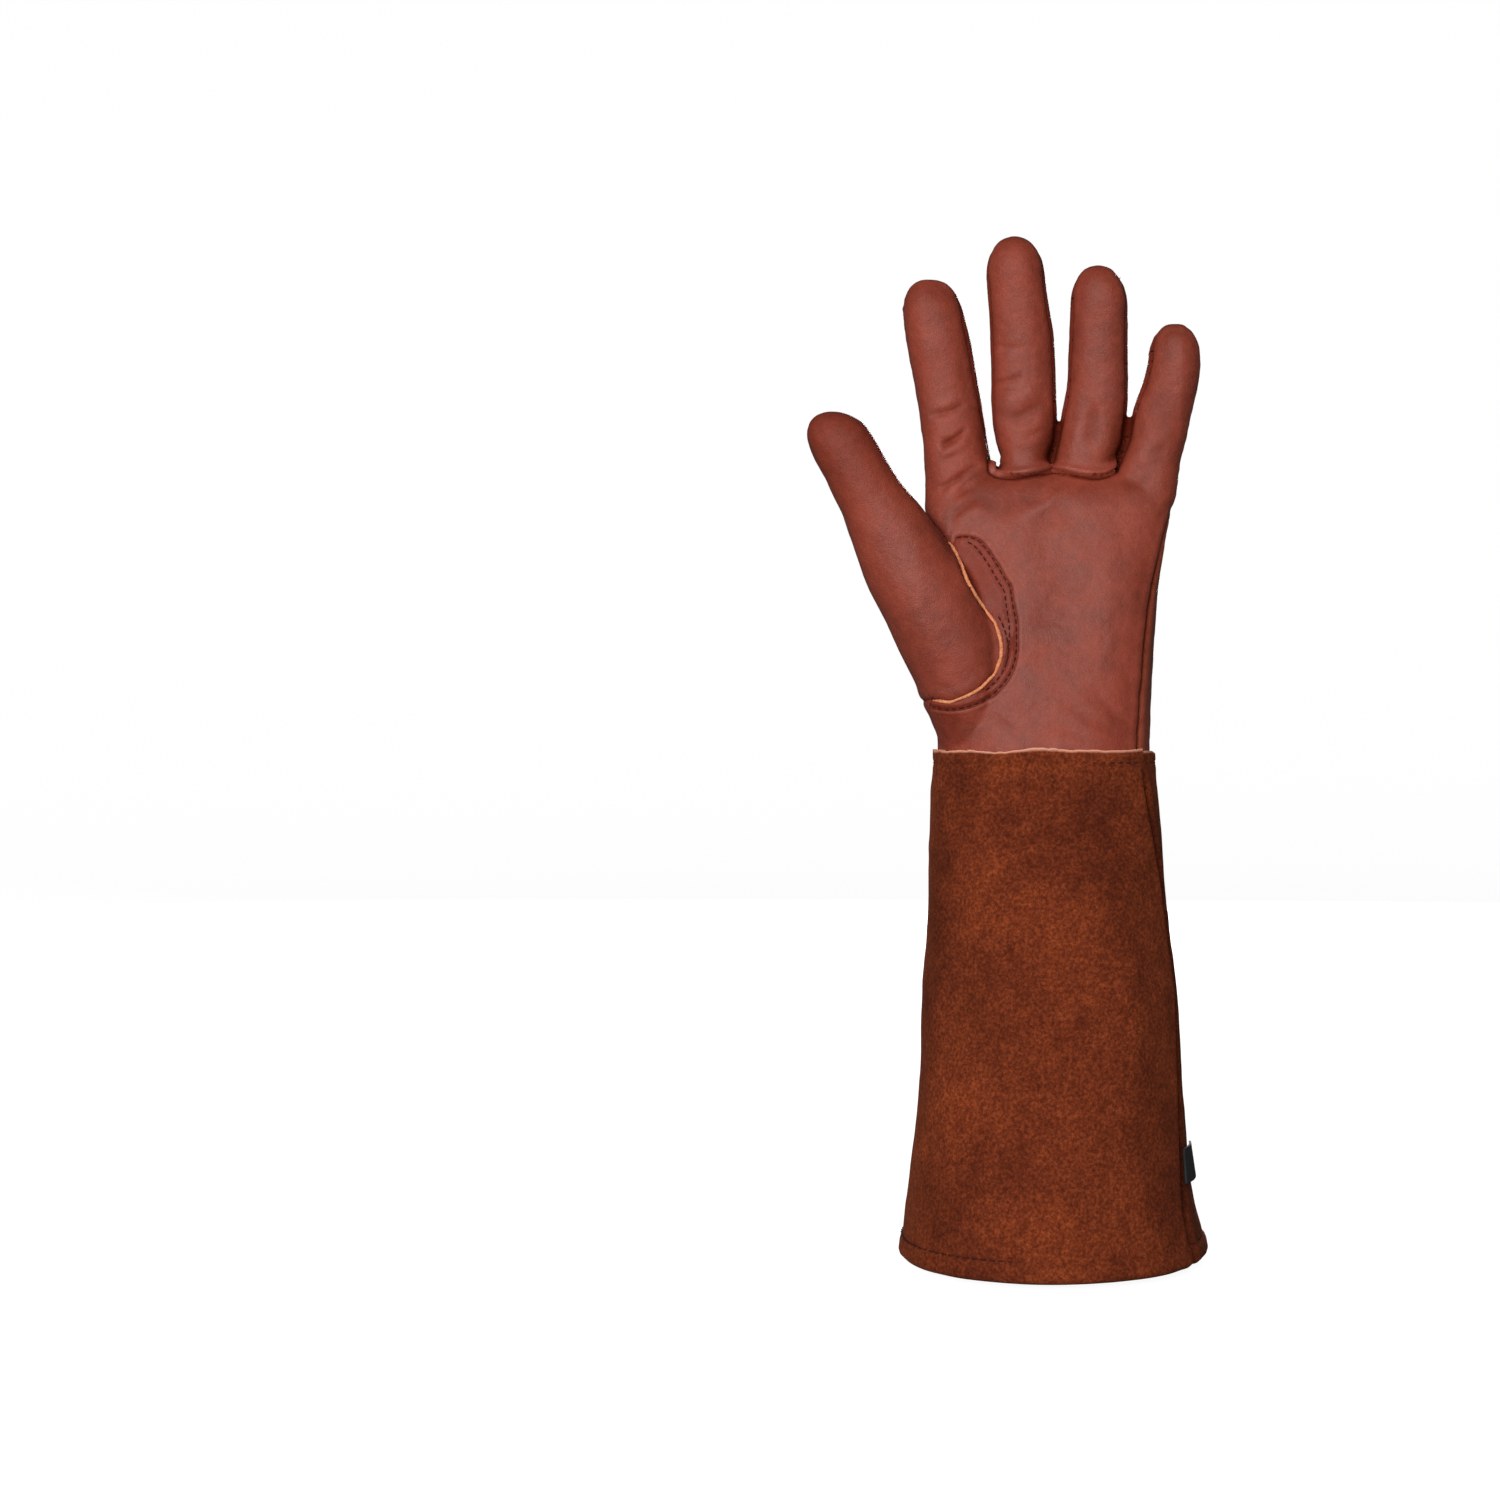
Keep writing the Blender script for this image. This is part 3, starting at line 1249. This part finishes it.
def smooth_line(values, passes):
    for _ in range(passes):
        values = np.vstack((values[:1], (values[:-2] + 2 * values[1:-1] + values[2:]) / 4, values[-1:]))
    return values


# A stitch from end to end: share of its half length, lift above the leather, share of the thread's thickness
STITCH_ARCH = ((-1, -0.32, 0.55), (-0.72, -0.02, 0.95), (0, 0.16, 1), (0.72, -0.02, 0.95), (1, -0.32, 0.55))


def stitches(samples, normals, pitch, length):
    """Short threads along a line, each with its ends sunk into the leather."""
    line = evenly(np.hstack((samples, normals)), pitch / 10)
    count = max(1, (len(line) - 1) // 10)
    angle = turns(THREAD_SIDES)
    made = []
    half = length / 2
    for i in range(count):
        middle = line[min(i * 10 + 5, len(line) - 1)]
        first, last = line[i * 10], line[min(i * 10 + 9, len(line) - 1)]
        along = last[:3] - first[:3]
        if np.linalg.norm(along) < 0.3 * pitch:
            continue
        along /= np.linalg.norm(along)
        up = middle[3:] - (middle[3:] @ along) * along
        up /= np.linalg.norm(up)
        side = np.cross(along, up)
        rings = []
        for share, lift, thick in STITCH_ARCH:
            centre = middle[:3] + along * share * half + up * lift
            ring = np.outer(np.cos(angle), side) + np.outer(np.sin(angle), up)
            rings.append(centre - ring * THREAD_RADIUS * thick)
        made.append(loft(np.array(rings)))
    return merged(made)


def build_hand():
    points, faces, labels = hand_skin()
    normals = normals_of(points, faces)
    tree = BVHTree.FromPolygons(points.tolist(), faces.tolist())
    rows = {name: on_skin(tree, evenly(line, 0.5), look) for name, (line, look) in STITCH_ROWS.items()}
    height, shade = skin_relief(points, faces, labels, normals, rows)
    points = points + normals * height[:, None]
    leather_pieces(points, faces, labels, shade)
    tree = BVHTree.FromPolygons(points.tolist(), faces[labels != OFFCUT].tolist())
    sewn = {}
    for name, (line, look) in STITCH_ROWS.items():
        samples, slopes = on_skin(tree, evenly(line, 0.4), look)
        slopes = smooth_line(slopes, 10)
        pitch = ELASTIC_PITCH if name == "elastic" else STITCH_PITCH
        spots, sides = stitches(smooth_line(samples, 2), slopes, pitch, pitch * STITCH_SHARE)
        sewn[name] = (shaped(spots, not name.startswith(("gusset", "thumb"))), sides)
    palm_rows = [sewn[name] for name in sewn if name.startswith("gusset")]
    side_rows = [sewn[name] for name in sewn if name.startswith(("index", "thumb"))]
    piece("gusset_stitches", *merged(palm_rows), "thread", "thread")
    piece("side_stitches", *merged(side_rows), "thread", "thread")
    piece("elastic_stitches", *sewn["elastic"], "thread", "thread")
    welts = {
        "thumb_welt": (in_plane(thumb_seam(0.2)[3:-3]), TOWARDS_BACK, 1.2),
        "index_welt": (side_row(2, INDEX_TIP + 4, -0.2), TOWARDS_RIGHT, 1.6),
    }
    for name, (line, look, width) in welts.items():
        samples, slopes = on_skin(tree, evenly(line, 0.5), look)
        spots, sides = strip(smooth_line(samples, 8), smooth_line(slopes, 12), width, 1.0, 0.8)
        piece(name, shaped(spots, name != "thumb_welt"), sides, "welt", "welt", [name])


# Cuff
def cuff_point(down, angle, inset):
    """A point of the cuff at a share of its length and an angle in degrees, inset from its outside."""
    names = ("flare", "deepen", "drift", "square")
    flare, deepen, drift, square = (read(CUFF, "down", name, down) for name in names)
    top = CUFF_CLEARANCE + SUEDE_WALL
    turn = np.radians(angle)
    sunk = inset
    for around, over, middle, reach, deep in zip(*CUFF_FOLDS.values()):
        away = degrees_between(angle, around)
        sunk = sunk + FOLD_DEPTH * deep * bump(away / over) * bump((down - middle) / reach)
    across = lerp(WRIST_WIDTH / 2 + top, MOUTH_WIDTH / 2, flare) - sunk
    deep = lerp(WRIST_DEPTH / 2 + top, MOUTH_DEPTH / 2, deepen) - sunk
    x = across * rounded(np.sin(turn), square) + CUFF_DRIFT * drift
    y = -deep * rounded(np.cos(turn), square)
    return np.stack(np.broadcast_arrays(x, y, -down * CUFF_LENGTH), axis=-1)


def sheet(outer, inner):
    """A closed sheet between two grids of points, a row for each height from the top down."""
    rows, columns, _ = outer.shape
    grid = rows * columns
    r, c = np.meshgrid(np.arange(rows - 1), np.arange(columns - 1), indexing="ij")
    a = (r * columns + c).ravel()
    faces = [np.stack((a, a + columns, a + columns + 1, a + 1), 1)]
    faces.append(grid + np.stack((a, a + 1, a + columns + 1, a + columns), 1))
    left = np.arange(rows - 1) * columns
    right = left + columns - 1
    faces.append(np.stack((left, grid + left, grid + left + columns, left + columns), 1))
    faces.append(np.stack((right, right + columns, grid + right + columns, grid + right), 1))
    top = np.arange(columns - 1)
    foot = top + (rows - 1) * columns
    faces.append(np.stack((top, top + 1, grid + top + 1, grid + top), 1))
    faces.append(np.stack((foot, grid + foot, grid + foot + 1, foot + 1), 1))
    return np.vstack((outer.reshape(-1, 3), inner.reshape(-1, 3))), np.vstack(faces)


# Dark patches of the suede: around is an angle from the palm's middle, down a share of the cuff's length
STAINS = table(
    "around over down reach strength",
    (-62, 16, 0.3, 0.22, 0.55),
    (-40, 14, 0.06, 0.1, 0.5),
    (-70, 14, 0.62, 0.2, 0.5),
    (12, 22, 0.12, 0.1, 0.35),
    (30, 18, 0.3, 0.14, 0.35),
    (-20, 22, 0.5, 0.1, 0.3),
    (40, 20, 0.72, 0.14, 0.35),
    (-50, 20, 0.86, 0.1, 0.35),
    (150, 30, 0.3, 0.2, 0.6),
    (-160, 24, 0.52, 0.16, 0.5),
    (128, 20, 0.75, 0.14, 0.5),
    (-128, 22, 0.16, 0.12, 0.5),
)


# Rows of stitches round the cuff: height below its upper edge, depth of the dent and lift of the thread
CUFF_ROWS = ((5.0, 0.4, -0.62), (CUFF_LENGTH - HEM_HEIGHT, 0.55, 0.0))


def stained(angle, down, spots):
    """How dark the suede's patches make it, from 0 to 1."""
    stain = np.zeros_like(angle)
    ragged = 0.35 * noise(spots, 11, 4).reshape(angle.shape)
    for around, over, middle, reach, strength in zip(*STAINS.values()):
        near = np.hypot(degrees_between(angle, around) / over, (down - middle) / reach) + ragged
        stain = np.maximum(stain, strength * (1 - step_between(near, 0.2, 1.25)))
    return stain


def cuff_panel(name, start, end, lower=0.0):
    rows = round(CUFF_LENGTH / CUFF_STEP)
    down = np.linspace(0, 1, rows + 1)[:, None]
    girth = math.pi * (WRIST_WIDTH + MOUTH_WIDTH) / 2
    span = float(np.mean(end(down) - start(down)))
    columns = round(girth * span / 360 / CUFF_STEP)
    share = np.linspace(0, 1, columns + 1)[None, :]
    angle = lerp(start(down), end(down), share)
    place = cuff_point(down, angle, 0)
    spots = place.reshape(-1, 3)
    radius = girth / (2 * math.pi)
    left = (angle - start(down)) * math.pi / 180 * radius
    right = (end(down) - angle) * math.pi / 180 * radius
    seam = np.minimum(left, right)
    wave = noise(spots, 34, 3).reshape(seam.shape) * 1.1 + noise(spots, 15, 7).reshape(seam.shape) * 0.55
    wave += noise(spots, 5.5, 1).reshape(seam.shape) * 0.14
    calm = step_between(down, 0, 0.08)
    drop = down * CUFF_LENGTH
    tuck = 1.5 * bell(seam, 1.7) - 0.45 * bell(seam - 4.5, 2.4)
    stitched = sum(deep * bell(drop - at, 1.0) for at, deep, _ in CUFF_ROWS)
    hem = CUFF_LENGTH - drop
    turned = -0.9 * step_between(hem, HEM_HEIGHT + 2, HEM_HEIGHT - 2)
    turned = turned + 1.9 * np.maximum(0, 1 - hem / 2.4) ** 2
    inset = tuck * step_between(drop, 4, 16) - wave * calm + stitched + turned
    outer = cuff_point(down, angle, inset)
    flat = spots * (1, 1, 0)
    edge = 0.9 * noise(flat, 17, 2) + 0.4 * noise(flat, 5, 2) + 0.25 * noise(spots, 1.9, 5)
    edge = edge.reshape(seam.shape) - lower
    outer[..., 2] += edge * np.maximum(0, 1 - drop / 4)
    wall = SUEDE_WALL + (SUEDE_WALL + 0.2) * step_between(hem, HEM_HEIGHT + 1.5, HEM_HEIGHT - 1.5)
    inner = cuff_point(down, angle, inset + wall * (1 - 0.35 * np.maximum(0, 1 - hem / 2.4)))
    inner[..., 2] = outer[..., 2]
    clear = CUFF_SEAM_GAP / radius * 180 / math.pi
    gap = lerp(clear, -clear, share) * np.ones_like(down)
    slip = cuff_point(down, angle + gap, inset) - cuff_point(down, angle, inset)
    outer, inner = outer + slip, inner + slip
    stain = stained(angle, down, spots)
    stain = np.maximum(stain, 0.6 * bell(seam, 2.2) * step_between(drop, 2, 10))
    if lower:
        beyond = bell(left, 9) * (0.55 + 0.45 * bell(drop - 40, 45))
        stain = np.maximum(stain, 0.75 * beyond)
    stain = np.maximum(stain, 0.22 * stitched / 0.55)
    raw = np.clip(1.2 - drop / 0.7, 0, 1) * np.ones_like(angle)
    points, faces = sheet(outer, inner)
    both = dict(
        stain=np.concatenate((stain.ravel(), stain.ravel())), raw=np.concatenate((raw.ravel(), raw.ravel())),
    )
    panel = piece(name, points, faces, "suede", "suede", [name], **both)
    panel.data.set_sharp_from_angle(angle=SHARP_ANGLE)


def outer_seam(down):
    return read(CUFF, "down", "outer_seam", down)


def thumb_side_seam(down):
    return read(CUFF, "down", "thumb_seam", down)


def cuff_tab():
    """The plain woven tab, sewn into the outer seam and lying back on the cuff."""
    down = ((TAB_DROP + np.linspace(0, 1, 27) * TAB_HEIGHT) / CUFF_LENGTH)[:, None]
    share = np.linspace(0, 1, 37)[None, :]
    around = math.degrees(2 * TAB_LENGTH / (0.5 * (WRIST_WIDTH + MOUTH_WIDTH)))
    angle = outer_seam(down) + TAB_START + share * around
    lift = TAB_LIFT + 0.25 * np.sin(share * math.pi) + 0 * down
    outer = cuff_point(down, angle, -lift - TAB_THICKNESS)
    inner = cuff_point(down, angle, -lift)
    piece("cuff_tab", *sheet(outer, inner), "tab", "tab", ["cuff_tab"])


def cuff_stitches():
    """Rows round the top edge and the hem, seen as a dent with thread in it."""
    made = []
    for drop, _, lift in CUFF_ROWS:
        down = drop / CUFF_LENGTH
        seams = (-thumb_side_seam(down), outer_seam(down), 360 - thumb_side_seam(down))
        for start, end in pairwise(seams):
            angle = np.linspace(start + 1.2, end - 1.2, 300)
            line = cuff_point(np.full(300, down), angle, -lift)
            normals = unit(np.cross(np.gradient(line, axis=0), (0, 0, 1)))
            made.append(stitches(line, normals, CUFF_STITCH_PITCH, CUFF_STITCH_LENGTH))
    piece("cuff_stitches", *merged(made), "thread", "thread")


def build_cuff():
    cuff_panel("cuff_palm_panel", lambda down: -thumb_side_seam(down), outer_seam)
    cuff_panel("cuff_back_panel", outer_seam, lambda down: 360 - thumb_side_seam(down), 1.0)
    cuff_tab()
    cuff_stitches()


# Stage, light and camera
FLOOR_HEIGHT = -0.2035
STAGE_RADIUS = 3.2
STAGE_WALL = 3.0
STAGE_CURVE = 0.9
STAGE_SIDES = 96
CAMERA_DISTANCE = 0.85
CAMERA_LENS = 51.0
CAMERA_SHIFT = -0.196


def build_stage():
    """A round floor that curves up into a wall, so that the background is the same all round."""
    turn = np.radians(np.linspace(0, 90, 24))
    reach = np.concatenate(([0.01], STAGE_RADIUS - STAGE_CURVE * (1 - np.sin(turn)), [STAGE_RADIUS]))
    rise = np.concatenate(([0], STAGE_CURVE * (1 - np.cos(turn)), [STAGE_WALL]))
    around = turns(STAGE_SIDES)
    rings = np.stack(np.broadcast_arrays(
        reach[:, None] * np.cos(around), reach[:, None] * np.sin(around), FLOOR_HEIGHT + rise[:, None],
    ), axis=-1)
    i = np.arange(STAGE_SIDES)
    j = (i + 1) % STAGE_SIDES
    starts = np.arange(len(reach) - 1) * STAGE_SIDES
    faces = np.vstack([np.stack((i, j, j + STAGE_SIDES, i + STAGE_SIDES), 1) + start for start in starts])
    mesh = to_mesh("backdrop", rings.reshape(-1, 3), faces)
    mesh.materials.append(glowing_white("backdrop_white"))
    mesh.shade_smooth()
    backdrop = in_scene("backdrop", mesh)
    backdrop.visible_diffuse = False
    backdrop.visible_glossy = False


# Lights: place, size across in metres, power in watts
LIGHTS = {
    "key": ((-0.3, -1.22, 0.33), 0.95, 22.5),
    "fill": ((0.7, -1.2, -0.1), 0.9, 1.2),
    "back": ((0.1, 1.9, 0.4), 0.7, 30),
}


def build_lights():
    for name, (place, size, power) in LIGHTS.items():
        lamp = bpy.data.lights.new(name, "AREA")
        lamp.shape = "DISK"
        lamp.size = size
        lamp.energy = power
        thing = in_scene(name, lamp)
        thing.location = place
        thing.rotation_euler = (-Vector(place)).to_track_quat("-Z", "Y").to_euler()
        thing.visible_camera = False
    world = bpy.data.worlds.new("studio")
    world.use_nodes = True
    world.node_tree.nodes["Background"].inputs["Color"].default_value = grey(1)
    world.node_tree.nodes["Background"].inputs["Strength"].default_value = 0.13
    bpy.context.scene.world = world
    bpy.context.scene.view_settings.view_transform = "Standard"


def build_camera():
    camera = bpy.data.cameras.new("camera")
    camera.lens = CAMERA_LENS
    camera.sensor_width = 36
    camera.shift_x = CAMERA_SHIFT
    camera.clip_start = 0.01
    camera.clip_end = 100
    thing = in_scene("camera", camera)
    thing.location = (0, -CAMERA_DISTANCE, 0)
    thing.rotation_euler = (math.radians(90), 0, 0)
    bpy.context.scene.camera = thing


build_hand()
build_cuff()
build_stage()
build_lights()
build_camera()
